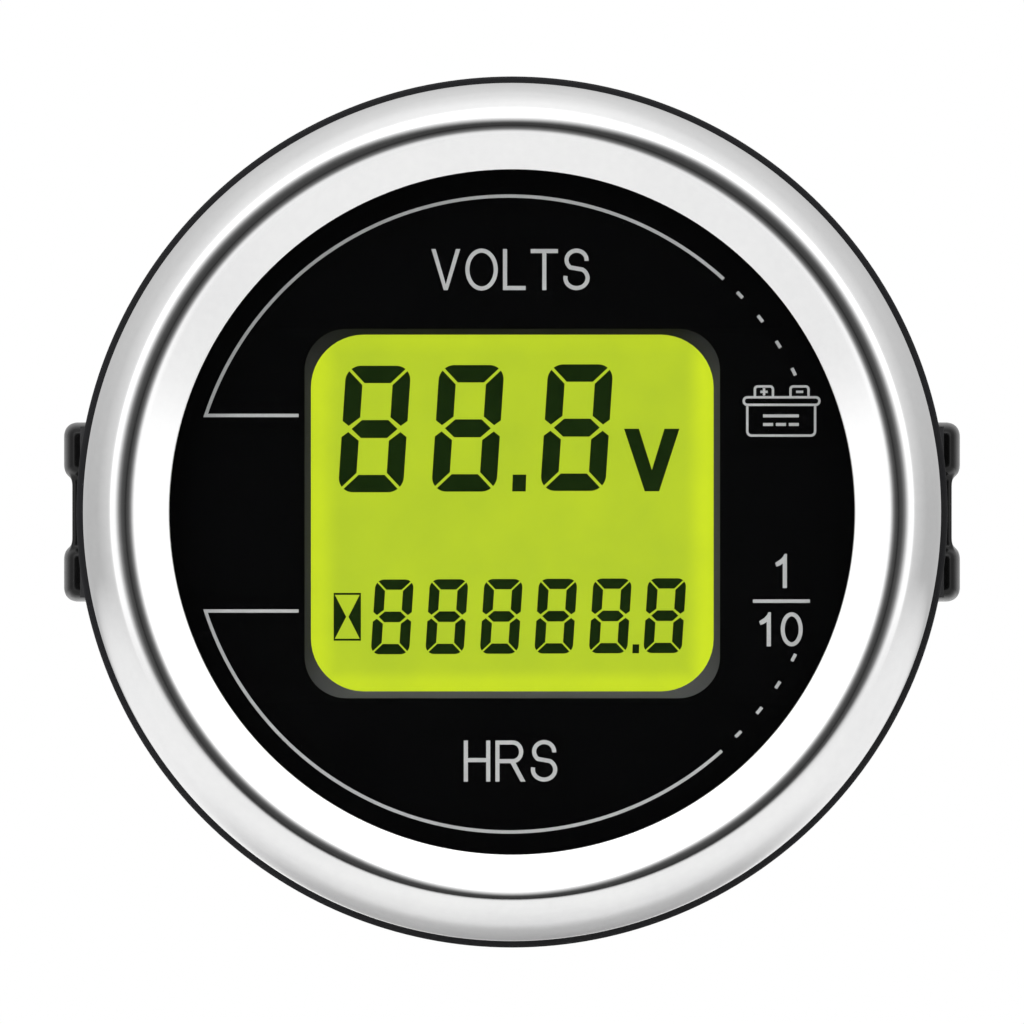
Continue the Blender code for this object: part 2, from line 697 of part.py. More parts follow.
make_bezel()
make_lens()
make_lens_seal()
make_dial_plate()
make_display_frame()
make_display_glasses()
make_backlight()
make_backlight_leds()
make_contact_strips()
make_circuit_board()
make_board_screws()
make_board_components()
make_housing()
make_terminals()
make_panel_gasket()
make_clamp_washer()
make_ring_nut()
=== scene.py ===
"""The looks of a round panel voltmeter and hour meter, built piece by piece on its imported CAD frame.

The meter's axis is Y, the dial faces -Y and the panel's front face is Y = 0. Sizes in the sections are in
millimetres, and MM turns them into Blender's metres.
"""

import math

import bmesh
import bpy
from mathutils import Matrix


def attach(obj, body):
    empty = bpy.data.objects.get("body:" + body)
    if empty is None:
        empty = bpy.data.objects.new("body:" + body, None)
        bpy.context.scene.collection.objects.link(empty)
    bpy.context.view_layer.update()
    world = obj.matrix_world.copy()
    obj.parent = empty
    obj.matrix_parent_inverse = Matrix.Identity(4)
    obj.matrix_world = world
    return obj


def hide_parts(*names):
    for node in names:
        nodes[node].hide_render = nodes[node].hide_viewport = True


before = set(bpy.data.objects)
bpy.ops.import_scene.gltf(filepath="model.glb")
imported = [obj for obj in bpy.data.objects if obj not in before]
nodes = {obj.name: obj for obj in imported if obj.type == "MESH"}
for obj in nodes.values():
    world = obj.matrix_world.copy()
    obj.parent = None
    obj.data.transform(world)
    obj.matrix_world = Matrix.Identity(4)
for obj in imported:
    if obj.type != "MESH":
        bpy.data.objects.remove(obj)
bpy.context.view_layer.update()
MM = 0.001


# Housing: a cup of black moulded plastic with a front flange for the lens and the bezel.
# A coarse thread is moulded on its barrel for the ring nut, and the rear wall carries two
# slotted bosses for the blades, with a raised plus and minus above them.

def mesh_from(shape, name):
    """A plain mesh from a bmesh whose faces are turned outwards."""
    bmesh.ops.recalc_face_normals(shape, faces=shape.faces)
    mesh = bpy.data.meshes.new(name)
    shape.to_mesh(mesh)
    shape.free()
    return mesh


def turned(name, profile, steps):
    """A closed profile of (radius, y) points turned round the meter's axis."""
    shape = bmesh.new()
    rows = []
    for radius, y in profile:
        row = []
        for step in range(steps if radius else 1):
            angle = math.tau * step / steps
            row.append(shape.verts.new((radius * MM * math.cos(angle), y * MM, radius * MM * math.sin(angle))))
        rows.append(row)
    for first, second in zip(rows, rows[1:] + rows[:1]):
        for step in range(steps):
            following = (step + 1) % steps
            corners = [
                first[step % len(first)],
                first[following % len(first)],
                second[following % len(second)],
                second[step % len(second)],
            ]
            corners = list(dict.fromkeys(corners))
            if len(corners) > 2:
                shape.faces.new(corners)
    return mesh_from(shape, name)


def arc(centre, radii, start, end, steps):
    """Points on an ellipse's arc, both ends included, with the angles in degrees."""
    points = []
    for step in range(steps + 1):
        angle = math.radians(start + (end - start) * step / steps)
        points.append((centre[0] + radii[0] * math.cos(angle), centre[1] + radii[1] * math.sin(angle)))
    return points


def rounded_rectangle(half_width, half_height, corner, centre=(0, 0), steps=12):
    points = []
    for start, side, end in ((0, 1, 1), (90, -1, 1), (180, -1, -1), (270, 1, -1)):
        middle = (centre[0] + side * (half_width - corner), centre[1] + end * (half_height - corner))
        points += arc(middle, (corner, corner), start, start + 90, steps)
    return points


def box(left, low, right, high):
    return [(left, low), (right, low), (right, high), (left, high)]


def bridge(shape, first, second):
    """Quads between two rings of vertices."""
    for index in range(len(first)):
        shape.faces.new((first[index - 1], first[index], second[index], second[index - 1]))


def prism(shape, outline, back, front):
    """Adds a plate with an outline of (x, z) points between two heights of y."""
    rear = [shape.verts.new((x * MM, back * MM, z * MM)) for x, z in outline]
    fore = [shape.verts.new((x * MM, front * MM, z * MM)) for x, z in outline]
    shape.faces.new(rear)
    shape.faces.new(fore)
    bridge(shape, rear, fore)


def prisms(name, outlines, back, front):
    shape = bmesh.new()
    for outline in outlines:
        prism(shape, outline, back, front)
    return mesh_from(shape, name)


def evaluated(obj):
    """The plain mesh that an object's modifiers make; the object goes."""
    graph = bpy.context.evaluated_depsgraph_get()
    mesh = bpy.data.meshes.new_from_object(obj.evaluated_get(graph))
    bpy.data.objects.remove(obj)
    return mesh


def on_bench(data):
    """A loose object for a mesh, or other data, that is still being worked on."""
    obj = bpy.data.objects.new(data.name, data)
    bpy.context.scene.collection.objects.link(obj)
    return obj


def combined(mesh, operation, other):
    work = on_bench(mesh)
    tool = on_bench(other)
    change = work.modifiers.new("combine", "BOOLEAN")
    change.operation = operation
    change.solver = "EXACT"
    change.object = tool
    result = evaluated(work)
    bpy.data.objects.remove(tool)
    return result


def round_edges(obj, width, segments, angle):
    bevel = obj.modifiers.new("edges", "BEVEL")
    bevel.width = width * MM
    bevel.segments = segments
    bevel.limit_method = "ANGLE"
    bevel.angle_limit = math.radians(angle)


def softened(mesh, width, segments, angle=50):
    """The mesh with its sharp edges rounded."""
    work = on_bench(mesh)
    round_edges(work, width, segments, angle)
    return evaluated(work)


def feed(tree, socket, value):
    """Links an input to another node's socket, or gives it a plain value."""
    if isinstance(value, bpy.types.NodeSocket):
        tree.links.new(value, socket)
    else:
        socket.default_value = value


def math_node(tree, operation, *values):
    """A Math node fed with sockets or plain numbers; gives its result's socket."""
    node = tree.nodes.new("ShaderNodeMath")
    node.operation = operation
    for socket, value in zip(node.inputs, values):
        feed(tree, socket, value)
    return node.outputs[0]


def product(tree, result, *factors):
    for factor in factors:
        result = math_node(tree, "MULTIPLY", result, factor)
    return result


def map_range(tree, value, low, high, to_low=0.0, to_high=1.0, smooth=False):
    """A clamped Map Range node fed with sockets or plain numbers; gives its result's socket."""
    node = tree.nodes.new("ShaderNodeMapRange")
    if smooth:
        node.interpolation_type = "SMOOTHSTEP"
    labels = ("Value", "From Min", "From Max", "To Min", "To Max")
    for label, source in zip(labels, (value, low, high, to_low, to_high)):
        feed(tree, node.inputs[label], source)
    return node.outputs["Result"]


def mix_colour(tree, factor, first, second):
    mix = tree.nodes.new("ShaderNodeMix")
    mix.data_type = "RGBA"
    for label, value in (("Factor", factor), ("A", first), ("B", second)):
        feed(tree, mix.inputs[label], value)
    return mix.outputs["Result"]


def coordinates(tree, kind="Object"):
    return tree.nodes.new("ShaderNodeTexCoord").outputs[kind]


def split(tree, vector):
    """The x, y and z sockets of a vector."""
    parts = tree.nodes.new("ShaderNodeSeparateXYZ")
    tree.links.new(vector, parts.inputs[0])
    return parts.outputs


def noise(tree, place, scale, detail=2):
    texture = tree.nodes.new("ShaderNodeTexNoise")
    for label, value in (("Vector", place), ("Scale", scale), ("Detail", detail)):
        feed(tree, texture.inputs[label], value)
    return texture.outputs[0]


def geometry_tree(name, inputs):
    """An empty Geometry Nodes tree with named inputs; gives the tree and its two end nodes."""
    tree = bpy.data.node_groups.new(name, "GeometryNodeTree")
    tree.interface.new_socket("Geometry", in_out="INPUT", socket_type="NodeSocketGeometry")
    for label, kind in inputs:
        tree.interface.new_socket(label, in_out="INPUT", socket_type=kind)
    tree.interface.new_socket("Material", in_out="INPUT", socket_type="NodeSocketMaterial")
    tree.interface.new_socket("Geometry", in_out="OUTPUT", socket_type="NodeSocketGeometry")
    return tree, tree.nodes.new("NodeGroupInput"), tree.nodes.new("NodeGroupOutput")


def end_tree(tree, start, end, geometry):
    """Closes a tree with Realize Instances and Set Material."""
    whole = tree.nodes.new("GeometryNodeRealizeInstances")
    paint = tree.nodes.new("GeometryNodeSetMaterial")
    tree.links.new(geometry, whole.inputs["Geometry"])
    tree.links.new(whole.outputs["Geometry"], paint.inputs["Geometry"])
    tree.links.new(start.outputs["Material"], paint.inputs["Material"])
    tree.links.new(paint.outputs["Geometry"], end.inputs["Geometry"])


def grown(mesh, tree, **values):
    """The plain mesh that a tree makes of a mesh, with the tree's inputs given by name."""
    work = on_bench(mesh)
    modifier = work.modifiers.new(tree.name, "NODES")
    modifier.node_group = tree
    for item in tree.interface.items_tree:
        if item.in_out == "INPUT" and item.name in values:
            modifier[item.identifier] = values[item.name]
    return evaluated(work)


def surface_grain():
    """A shader group for moulded and worked surfaces: fine grain over broad drifts of tone."""
    drift_scale = 0.07
    fine_share, broad_share = 0.4, 0.6
    group = bpy.data.node_groups.new("surface_grain", "ShaderNodeTree")
    sockets = (
        ("INPUT", "NodeSocketColor", ("Dark", "Light")),
        ("INPUT", "NodeSocketFloat", ("Grains Per Metre", "Smooth", "Rough", "Relief")),
        ("OUTPUT", "NodeSocketColor", ("Colour",)),
        ("OUTPUT", "NodeSocketFloat", ("Roughness",)),
        ("OUTPUT", "NodeSocketVector", ("Normal",)),
    )
    for way, kind, labels in sockets:
        for label in labels:
            group.interface.new_socket(label, in_out=way, socket_type=kind)
    given = group.nodes.new("NodeGroupInput").outputs
    end = group.nodes.new("NodeGroupOutput")
    place = coordinates(group)
    fine = noise(group, place, given["Grains Per Metre"], 3)
    broad = noise(group, place, product(group, given["Grains Per Metre"], drift_scale), 4)
    mask = math_node(group, "ADD", product(group, fine, fine_share), product(group, broad, broad_share))
    spread = map_range(group, mask, 0.35, 0.65)
    bump = group.nodes.new("ShaderNodeBump")
    group.links.new(fine, bump.inputs["Height"])
    group.links.new(given["Relief"], bump.inputs["Distance"])
    tone = mix_colour(group, spread, given["Dark"], given["Light"])
    gloss = map_range(group, spread, 0.0, 1.0, given["Smooth"], given["Rough"])
    group.links.new(tone, end.inputs["Colour"])
    group.links.new(gloss, end.inputs["Roughness"])
    group.links.new(bump.outputs["Normal"], end.inputs["Normal"])
    return group


GRAIN = surface_grain()


def new_material(name):
    """A new material with its node tree and its Principled shader."""
    made = bpy.data.materials.new(name)
    made.use_nodes = True
    return made, made.node_tree, made.node_tree.nodes["Principled BSDF"]


def grained(name, dark, light, grain_mm, gloss, relief_mm, metallic=0.0, specular=0.5):
    """A material on the shared grain: two tones, the grain's size, (smooth, rough) and its relief."""
    made, tree, surface = new_material(name)
    surface.inputs["Metallic"].default_value = metallic
    surface.inputs["Specular IOR Level"].default_value = specular
    grain = tree.nodes.new("ShaderNodeGroup")
    grain.name = "grain"
    grain.node_tree = GRAIN
    values = {"Dark": (*dark, 1), "Light": (*light, 1), "Grains Per Metre": 1000 / grain_mm,
              "Smooth": gloss[0], "Rough": gloss[1], "Relief": relief_mm * MM}
    for label, value in values.items():
        grain.inputs[label].default_value = value
    for label, socket in (("Colour", "Base Color"), ("Roughness", "Roughness"), ("Normal", "Normal")):
        tree.links.new(grain.outputs[label], surface.inputs[socket])
    return made


def add_piece(name, mesh, surface, slot, body, *stands_for):
    """A finished piece on its body: painted, smooth between its sharp edges, standing for CAD nodes."""
    mesh.name = name
    mesh.materials.clear()
    mesh.materials.append(surface)
    mesh.shade_smooth()
    mesh.set_sharp_from_angle(angle=math.radians(32))
    piece = on_bench(mesh)
    piece.name = name
    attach(piece, body)
    if stands_for:
        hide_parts(*stands_for)
    return piece


def thread_tree():
    """Cuts a right-hand thread into the skin of a barrel that stands on the Y axis."""
    crest_slope, root_slope = 0.24, 0.76
    skin_depth = 0.00002
    labels = ("Pitch", "Depth", "Crest Radius", "First", "Last", "Run Out")
    tree, start, end = geometry_tree("threaded_barrel", [(label, "NodeSocketFloat") for label in labels])
    given = start.outputs
    x, y, z = split(tree, tree.nodes.new("GeometryNodeInputPosition").outputs[0])
    radius = math_node(tree, "SQRT", math_node(tree, "ADD", product(tree, x, x), product(tree, z, z)))
    turn = math_node(tree, "DIVIDE", math_node(tree, "ARCTAN2", z, x), math.tau)
    turns = math_node(tree, "ADD", math_node(tree, "DIVIDE", y, given["Pitch"]), turn)
    phase = math_node(tree, "FRACT", turns)
    slope = math_node(tree, "ABSOLUTE", math_node(tree, "SUBTRACT", product(tree, phase, 2.0), 1.0))
    groove = map_range(tree, slope, crest_slope, root_slope, smooth=True)
    entry_end = math_node(tree, "ADD", given["First"], given["Run Out"])
    entry = map_range(tree, y, given["First"], entry_end, smooth=True)
    exit_start = math_node(tree, "SUBTRACT", given["Last"], given["Run Out"])
    past = map_range(tree, y, exit_start, given["Last"], smooth=True)
    exit_fade = math_node(tree, "SUBTRACT", 1.0, past)
    under_skin = math_node(tree, "SUBTRACT", given["Crest Radius"], skin_depth)
    skin = math_node(tree, "GREATER_THAN", radius, under_skin)
    depth = product(tree, given["Depth"], groove, product(tree, entry, exit_fade), skin)
    share = math_node(tree, "DIVIDE", depth, math_node(tree, "MAXIMUM", radius, MM))
    pull = tree.nodes.new("ShaderNodeCombineXYZ")
    tree.links.new(product(tree, x, share, -1.0), pull.inputs[0])
    tree.links.new(product(tree, z, share, -1.0), pull.inputs[2])
    move = tree.nodes.new("GeometryNodeSetPosition")
    tree.links.new(given["Geometry"], move.inputs["Geometry"])
    tree.links.new(pull.outputs[0], move.inputs["Offset"])
    end_tree(tree, start, end, move.outputs["Geometry"])
    return tree


def copies_on(tree, start, end, points):
    """Closes a tree with copies of its shape on points; gives the node that places them."""
    placed = tree.nodes.new("GeometryNodeInstanceOnPoints")
    tree.links.new(points, placed.inputs["Points"])
    tree.links.new(start.outputs["Geometry"], placed.inputs["Instance"])
    end_tree(tree, start, end, placed.outputs[0])
    return placed


def copies_round_axis():
    """Copies of a shape turned round the meter's axis in even steps of an angle."""
    inputs = [("Count", "NodeSocketInt"), ("First Angle", "NodeSocketFloat"), ("Angle Step", "NodeSocketFloat")]
    tree, start, end = geometry_tree("copies_round_axis", inputs)
    points = tree.nodes.new("GeometryNodePoints")
    tree.links.new(start.outputs["Count"], points.inputs["Count"])
    index = tree.nodes.new("GeometryNodeInputIndex").outputs[0]
    angle = math_node(tree, "ADD", start.outputs["First Angle"], product(tree, index, start.outputs["Angle Step"]))
    turn = tree.nodes.new("ShaderNodeCombineXYZ")
    tree.links.new(product(tree, angle, -1.0), turn.inputs[1])
    rotation = tree.nodes.new("FunctionNodeEulerToRotation")
    tree.links.new(turn.outputs[0], rotation.inputs[0])
    placed = copies_on(tree, start, end, points.outputs[0])
    tree.links.new(rotation.outputs[0], placed.inputs["Rotation"])
    return tree


ROUND_AXIS = copies_round_axis()


def turned_copies(mesh, material, count, first, step):
    """Copies of a mesh round the meter's axis, with the first angle and the step in degrees."""
    return grown(mesh, ROUND_AXIS, Count=count, Material=material,
                 **{"First Angle": math.radians(first), "Angle Step": math.radians(step)})


black_plastic = grained("housing_black_plastic", (0.010, 0.010, 0.011), (0.018, 0.018, 0.020), 0.35,
                        (0.34, 0.52), 0.012)
barrel_radius = 25.8
cup_radius = 23.4
dial_seat_radius = 24.6
lens_seat_radius = 26.7
flange_radius = 29.2
flange_front, flange_back = -6.1, -2.1
dial_seat, lens_seat = -2.6, -3.6
wall_front, wall_back = 24.0, 26.0
chamfer = 1.0
row_step = 0.15
row_count = 181
barrel_rows = [(barrel_radius, flange_back + row_step * row) for row in range(row_count)]
cup_profile = [
    (0, wall_front), (cup_radius, wall_front), (cup_radius, dial_seat), (dial_seat_radius, dial_seat),
    (dial_seat_radius, lens_seat), (lens_seat_radius, lens_seat), (lens_seat_radius, flange_front),
    (flange_radius - chamfer, flange_front), (flange_radius, flange_front + chamfer),
    (flange_radius, flange_back), *barrel_rows, (barrel_radius - chamfer, wall_back), (0, wall_back),
]
housing = turned("housing_shell", cup_profile, 160)
housing = grown(housing, thread_tree(), Pitch=3.0 * MM, Depth=0.75 * MM, First=1.0 * MM, Last=24.4 * MM,
                Material=black_plastic, **{"Crest Radius": barrel_radius * MM, "Run Out": 1.6 * MM})
blade_places = ((8.0, -8.0), (-8.0, -8.0))
boss_mouth = 28.5
bosses = prisms("bosses", [rounded_rectangle(4.95, 2.2, 1.8, place) for place in blade_places], 25.2, boss_mouth)
housing = combined(housing, "UNION", softened(bosses, 0.35, 3))
slots = prisms("slots", [rounded_rectangle(3.45, 0.7, 0.05, place, 2) for place in blade_places], 20.0, 30.0)
housing = combined(housing, "DIFFERENCE", slots)
plus_mark = [(7.7, -3.7), (8.3, -3.7), (8.3, -2.8), (9.2, -2.8), (9.2, -2.2), (8.3, -2.2), (8.3, -1.3),
             (7.7, -1.3), (7.7, -2.2), (6.8, -2.2), (6.8, -2.8), (7.7, -2.8)]
minus_mark = box(-9.2, -2.8, -6.8, -2.2)
mark_height = 0.3
marks = prisms("polarity_marks", [plus_mark, minus_mark], 25.6, wall_back + mark_height)
housing = combined(housing, "UNION", marks)
pillar_circle = 20.9
pillar_bore, pillar_radius = 1.3, 2.8
pillar_front, pillar_back = 6.4, 24.6
pillar = turned("pillar", box(pillar_bore, pillar_front, pillar_radius, pillar_back), 32)
pillar.transform(Matrix.Translation((pillar_circle * MM, 0, 0)))
housing = combined(housing, "UNION", turned_copies(pillar, black_plastic, 4, 0, 90))
add_piece("housing_shell", housing, black_plastic, "housing_plastic", "meter", "housing")


# Terminals: two blades stamped from brass sheet and thinly tinned, so the edges wear to yellow.
# Each is soldered to the board, and a grey silicone seal sits round it on the rear wall's inside.

def finish_node(name, surface, edge_mm=0.0):
    """Paints a CAD node and, where it has a worked edge, rounds that edge."""
    node = nodes[name]
    node.material_slots[0].material = surface
    if edge_mm:
        weld = node.modifiers.new("weld", "WELD")
        weld.merge_threshold = 0.00001
        round_edges(node, edge_mm, 2, 40)


tinned_brass = grained("terminal_tinned_brass", (0.62, 0.50, 0.27), (0.80, 0.70, 0.46), 0.20,
                       (0.20, 0.38), 0.002, metallic=1.0)
silicone = grained("terminal_seal_silicone", (0.26, 0.26, 0.27), (0.34, 0.34, 0.35), 0.25, (0.55, 0.75), 0.006)
for pole in ("positive", "negative"):
    finish_node(f"terminal_{pole}", tinned_brass, 0.10)
    finish_node(f"terminal_seal_{pole}", silicone)


# Circuit board: a disc of glass laminate under green solder resist, held by four pan-head
# screws. Its copper tracks show through the resist as paler lines.

def add_tone(material, mask, colour):
    """Lays a second colour over a grained material wherever a mask socket is 1."""
    tree = material.node_tree
    over = mix_colour(tree, mask, tree.nodes["grain"].outputs["Colour"], (*colour, 1))
    tree.links.new(over, tree.nodes["Principled BSDF"].inputs["Base Color"])


laminate = grained("board_green_laminate", (0.012, 0.110, 0.040), (0.022, 0.160, 0.062), 0.40,
                   (0.28, 0.42), 0.004)
tree = laminate.node_tree
upright = tree.nodes.new("ShaderNodeMapping")
upright.inputs["Rotation"].default_value = (math.radians(90), 0, 0)
tracks = tree.nodes.new("ShaderNodeTexBrick")
tracks.inputs["Scale"].default_value = 420
tracks.inputs["Mortar Size"].default_value = 0.030
tree.links.new(coordinates(tree), upright.inputs["Vector"])
tree.links.new(upright.outputs["Vector"], tracks.inputs["Vector"])
add_tone(laminate, tracks.outputs["Fac"], (0.060, 0.260, 0.090))
finish_node("circuit_board", laminate)
zinc = grained("screw_zinc_steel", (0.46, 0.46, 0.43), (0.62, 0.62, 0.58), 0.15, (0.25, 0.42), 0.002,
               metallic=1.0)
for number in range(1, 5):
    finish_node(f"board_screw_{number}", zinc)
resin = grained("component_black_resin", (0.014, 0.014, 0.014), (0.026, 0.026, 0.026), 0.12,
                (0.45, 0.62), 0.004)
finish_node("microcontroller", resin, 0.15)
finish_node("voltage_regulator", resin, 0.15)
aluminium = grained("capacitor_aluminium", (0.62, 0.63, 0.64), (0.74, 0.75, 0.76), 0.30,
                    (0.24, 0.36), 0.002, metallic=1.0)
finish_node("filter_capacitor", aluminium, 0.25)
nickel = grained("crystal_nickel_can", (0.55, 0.53, 0.48), (0.66, 0.64, 0.59), 0.30, (0.18, 0.30), 0.002,
                 metallic=1.0)
finish_node("timing_crystal", nickel, 0.25)


# Backlight: an edge-lit acrylic panel over a white film, with a lamp at each end. Strips of rubber
# with conducting layers, set side by side, join the display's glass to the board.

acrylic = grained("backlight_acrylic", (0.66, 0.80, 0.16), (0.78, 0.90, 0.24), 0.60, (0.22, 0.36), 0.003)
finish_node("backlight_panel", acrylic)
white_film = grained("reflector_white_film", (0.80, 0.80, 0.78), (0.88, 0.88, 0.86), 0.50, (0.40, 0.55), 0.002)
finish_node("reflector_sheet", white_film)
lamp_resin = grained("led_package", (0.74, 0.78, 0.48), (0.84, 0.87, 0.60), 0.20, (0.30, 0.45), 0.002)
finish_node("backlight_led_left", lamp_resin)
finish_node("backlight_led_right", lamp_resin)
striped_rubber = grained("striped_contact_rubber", (0.20, 0.18, 0.16), (0.28, 0.26, 0.23), 0.20,
                         (0.55, 0.75), 0.004)
tree = striped_rubber.node_tree
stripes = tree.nodes.new("ShaderNodeTexWave")
stripes.inputs["Scale"].default_value = 800
tree.links.new(coordinates(tree), stripes.inputs["Vector"])
stripe_edge = 0.55
stripe_mask = math_node(tree, "GREATER_THAN", stripes.outputs["Fac"], stripe_edge)
add_tone(striped_rubber, stripe_mask, (0.015, 0.015, 0.015))
finish_node("contact_strip_upper", striped_rubber)
finish_node("contact_strip_lower", striped_rubber)


# Display: two sheets of glass with liquid crystal between them, lit from behind in yellow-green.
# The light is stronger along the edges, most of all next to the lamps, and slightly uneven between.

lit_glass, tree, surface = new_material("display_lit_glass")
surface.inputs["Base Color"].default_value = (0.020, 0.030, 0.004, 1)
surface.inputs["Roughness"].default_value = 0.12
surface.inputs["Emission Strength"].default_value = 0.97
place = coordinates(tree)
across_up = split(tree, place)
glows = []
for axis, inner, outer, mean, drift in ((0, 11.9, 13.6, 0.70, 0.09), (2, 10.8, 12.0, 0.39, -0.175)):
    from_middle = math_node(tree, "ABSOLUTE", across_up[axis])
    rise = map_range(tree, from_middle, inner * MM, outer * MM, smooth=True)
    strength = math_node(tree, "ADD", product(tree, across_up[axis], drift / (outer * MM)), mean)
    glows.append(product(tree, rise, strength))
clouds = math_node(tree, "SUBTRACT", noise(tree, place, 260), 0.5)
cloud_depth = 0.55
middle_level = 0.18
level = math_node(tree, "ADD", math_node(tree, "MAXIMUM", *glows), product(tree, clouds, cloud_depth))
level = math_node(tree, "ADD", level, middle_level)
light = mix_colour(tree, level, (0.440, 0.580, 0.024, 1), (0.640, 0.790, 0.018, 1))
tree.links.new(light, surface.inputs["Emission Color"])
finish_node("lcd_front_glass", lit_glass)
finish_node("lcd_rear_glass", lit_glass)


# Segments: the switched areas of the liquid crystal, near-black green. A row of three tall leaning
# digits with a unit letter, and below it an hourglass and six digits of a running count.

glass_front = -1.2
segment_back = glass_front - 0.005
segment_front = glass_front - 0.030
LEAN = 0.066


def digit(scale):
    """The seven bars of a figure eight as (x, z) outlines about its middle, leaning to the right."""
    half_width = 2.275
    half_height = 4.43
    bar = 1.22
    gap = 0.14  # along a bar's end, from the mitre line
    corner = 1.05
    cut = math.degrees(math.asin(gap / (corner * math.sqrt(2))))
    middle_of_corner = (corner - half_width, half_height - corner)
    cap = arc(middle_of_corner, (corner, corner), 135 - cut, 90, 5)
    cap += [(-x, z) for x, z in reversed(cap)]
    cap += [(half_width - bar - gap, half_height - bar), (bar + gap - half_width, half_height - bar)]
    side = [(bar - half_width, half_height - bar - gap), (bar - half_width, 0.82), (0.45 - half_width, 0.215)]
    side += [(-half_width, 0.56)] + arc(middle_of_corner, (corner, corner), 180, 135 + cut, 5)
    middle = [(0.665 - half_width, 0), (1.355 - half_width, 0.63), (half_width - 1.355, 0.63)]
    middle += [(-x, -z) for x, z in middle]
    bars = [cap, [(-x, -z) for x, z in cap], middle, side]
    bars += [[(-x, z) for x, z in side], [(x, -z) for x, z in side], [(-x, -z) for x, z in side]]
    return [[(scale * (x + LEAN * z), scale * z) for x, z in outline] for outline in bars]


def shifted(outlines, across, up):
    return [[(x + across, z + up) for x, z in outline] for outline in outlines]


def copies_in_row():
    """Copies of a shape side by side, an even step apart."""
    inputs = [("Count", "NodeSocketInt"), ("First Place", "NodeSocketVector"), ("Step", "NodeSocketVector")]
    tree, start, end = geometry_tree("copies_in_row", inputs)
    row = tree.nodes.new("GeometryNodeMeshLine")
    tree.links.new(start.outputs["Count"], row.inputs["Count"])
    tree.links.new(start.outputs["First Place"], row.inputs["Start Location"])
    tree.links.new(start.outputs["Step"], row.inputs["Offset"])
    copies_on(tree, start, end, row.outputs[0])
    return tree


def add_segments(name, mesh):
    add_piece(name, mesh, segment_ink, "display_segment", "meter")


segment_ink = grained("display_segment_dark", (0.0080, 0.0200, 0.0030), (0.0110, 0.0250, 0.0045), 0.50,
                      (0.50, 0.60), 0.001, specular=0.0)
volt_outlines = []
for across, up in ((-9.62, 5.81), (-3.088, 5.857), (4.533, 5.905)):
    volt_outlines += shifted(digit(1.0), across, up)
volt_point = [(0.01, 1.44), (0.96, 1.44), (1.00, 2.62), (0.05, 2.62)]
volt_letter = [(7.84, 5.83), (9.29, 1.45), (10.30, 1.45), (11.72, 5.83), (10.67, 5.83), (9.79, 2.94), (8.88, 5.83)]
volt_outlines += [volt_point, volt_letter]
add_segments("volt_digits", prisms("volt_digits", volt_outlines, segment_back, segment_front))
count_digit = prisms("count_digits", digit(0.591), segment_back, segment_front)
count_digits = grown(count_digit, copies_in_row(), Count=6, Step=(3.815 * MM, 0, 0.017 * MM), Material=segment_ink,
                     **{"First Place": (-8.378 * MM, 0, -7.341 * MM)})
add_segments("count_digits", count_digits)
count_point = [(8.42, -9.89), (8.89, -9.89), (8.91, -9.26), (8.44, -9.26)]
glass_left, glass_right, glass_top, glass_foot = -12.485, -10.574, -5.658, -9.010
line = 0.145
line_gap = 0.003  # keeps the sides' faces off the lines at the top and the foot
waist = (-11.525, -7.333)
waist_half = 0.08
edge_width = 0.09
upper = glass_top - line - line_gap
lower = glass_foot + line + line_gap
hourglass_outlines = [
    count_point,
    box(glass_left, glass_top - line, glass_right, glass_top),
    box(glass_left, glass_foot, glass_right, glass_foot + line),
    [(glass_left, upper), (glass_left, lower), (glass_left + edge_width, lower),
     (waist[0] - waist_half, waist[1]), (glass_left + edge_width, upper)],
    [(glass_right, lower), (glass_right, upper), (glass_right - edge_width, upper),
     (waist[0] + waist_half, waist[1]), (glass_right - edge_width, lower)],
]
add_segments("hourglass_and_point", prisms("hourglass_and_point", hourglass_outlines, segment_back, segment_front))


# Display frame: a tray of dark grey plastic with a fine eroded grain. Its front plate holds the
# glass down with a sloping edge round the view, and its skirt stands on the board. A painted light
# pales what faces up and leaves what faces down dark, as if lit from above.

def plate(name, outlines, back, front):
    """A flat plate between two heights of y: the first outline is its edge, the others are holes."""
    curve = bpy.data.curves.new(name, "CURVE")
    curve.dimensions = "2D"
    curve.fill_mode = "BOTH"
    curve.extrude = abs(back - front) / 2 * MM
    for outline in outlines:
        spline = curve.splines.new("POLY")
        spline.points.add(len(outline) - 1)
        spline.use_cyclic_u = True
        for point, (x, z) in zip(spline.points, outline):
            point.co = (x * MM, z * MM, 0, 1)
    shape = bmesh.new()
    shape.from_mesh(evaluated(on_bench(curve)))
    bmesh.ops.remove_doubles(shape, verts=shape.verts, dist=1e-6)
    for vertex in shape.verts:
        x, z, depth = vertex.co
        vertex.co = (x, (back + front) / 2 * MM - depth, z)
    return mesh_from(shape, name)


frame_grey = grained("frame_dark_grey_plastic", (0.010, 0.010, 0.011), (0.016, 0.016, 0.018), 0.12,
                     (0.42, 0.58), 0.006, specular=0.15)
tree = frame_grey.node_tree
# Painted light: the frame's colour turns paler grey where its faces turn up and stays dark where they turn down,
# as if lit from above.
facing_up = split(tree, coordinates(tree, "Normal"))[2]
slope_facing = 0.77
painted_light_from_above = map_range(tree, facing_up, -slope_facing, slope_facing)
add_tone(frame_grey, painted_light_from_above, (0.076, 0.076, 0.080))
frame_half = 16.87
frame_edge = rounded_rectangle(frame_half, frame_half, 4.0)
view_half = (14.09, 12.48)
view_centre = (0.02, -0.07)
view_edge = rounded_rectangle(*view_half, 3.7, view_centre)
skirt_half = 15.77
skirt_bore = rounded_rectangle(skirt_half, skirt_half, 2.9)
frame_face = plate("display_frame", [frame_edge, view_edge], -1.4, -2.6)
frame_skirt = plate("frame_skirt", [frame_edge, skirt_bore], 4.4, -2.0)
display_frame = combined(frame_face, "UNION", frame_skirt)
slope = bmesh.new()
rims = []
